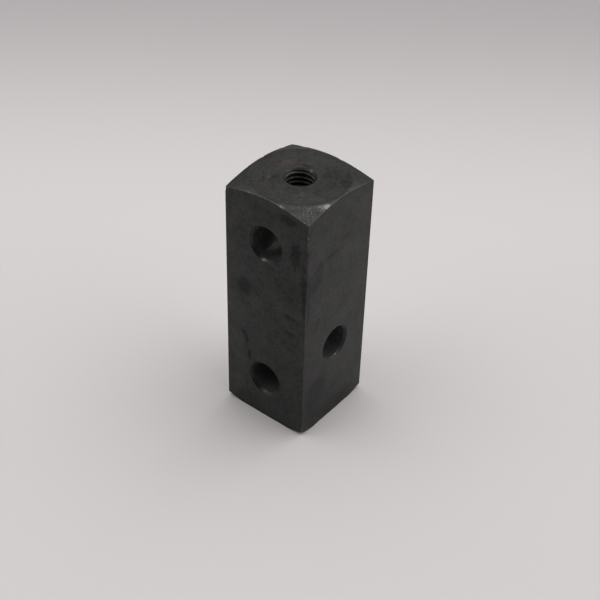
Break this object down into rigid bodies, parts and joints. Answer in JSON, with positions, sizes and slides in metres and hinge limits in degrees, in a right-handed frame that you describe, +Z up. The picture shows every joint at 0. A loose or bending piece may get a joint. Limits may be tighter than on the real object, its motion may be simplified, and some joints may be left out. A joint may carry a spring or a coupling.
{
  "type": "machined mounting block",
  "caption": "Upright square block of blackened steel with turned ends, a tapped hole in its top and plain cross holes for bolting or clamping rods.",
  "frame": {"origin": "centre of the base face, on the axis of the square bar", "axes": "+Z up along the bar through the tapped hole, -Y out of the front face that the upper and lower cross holes open in, +X out of the right face that the side cross hole opens in"},
  "size_m": [0.025, 0.025, 0.068],
  "materials": {
    "blackened_steel": "black oxide over milled bar and turned ends, matt, with faint stains and bare burrs at the edges"
  },
  "bodies": {
    "root": {"mounting_block": "blackened_steel"}
  },
  "joints": []
}
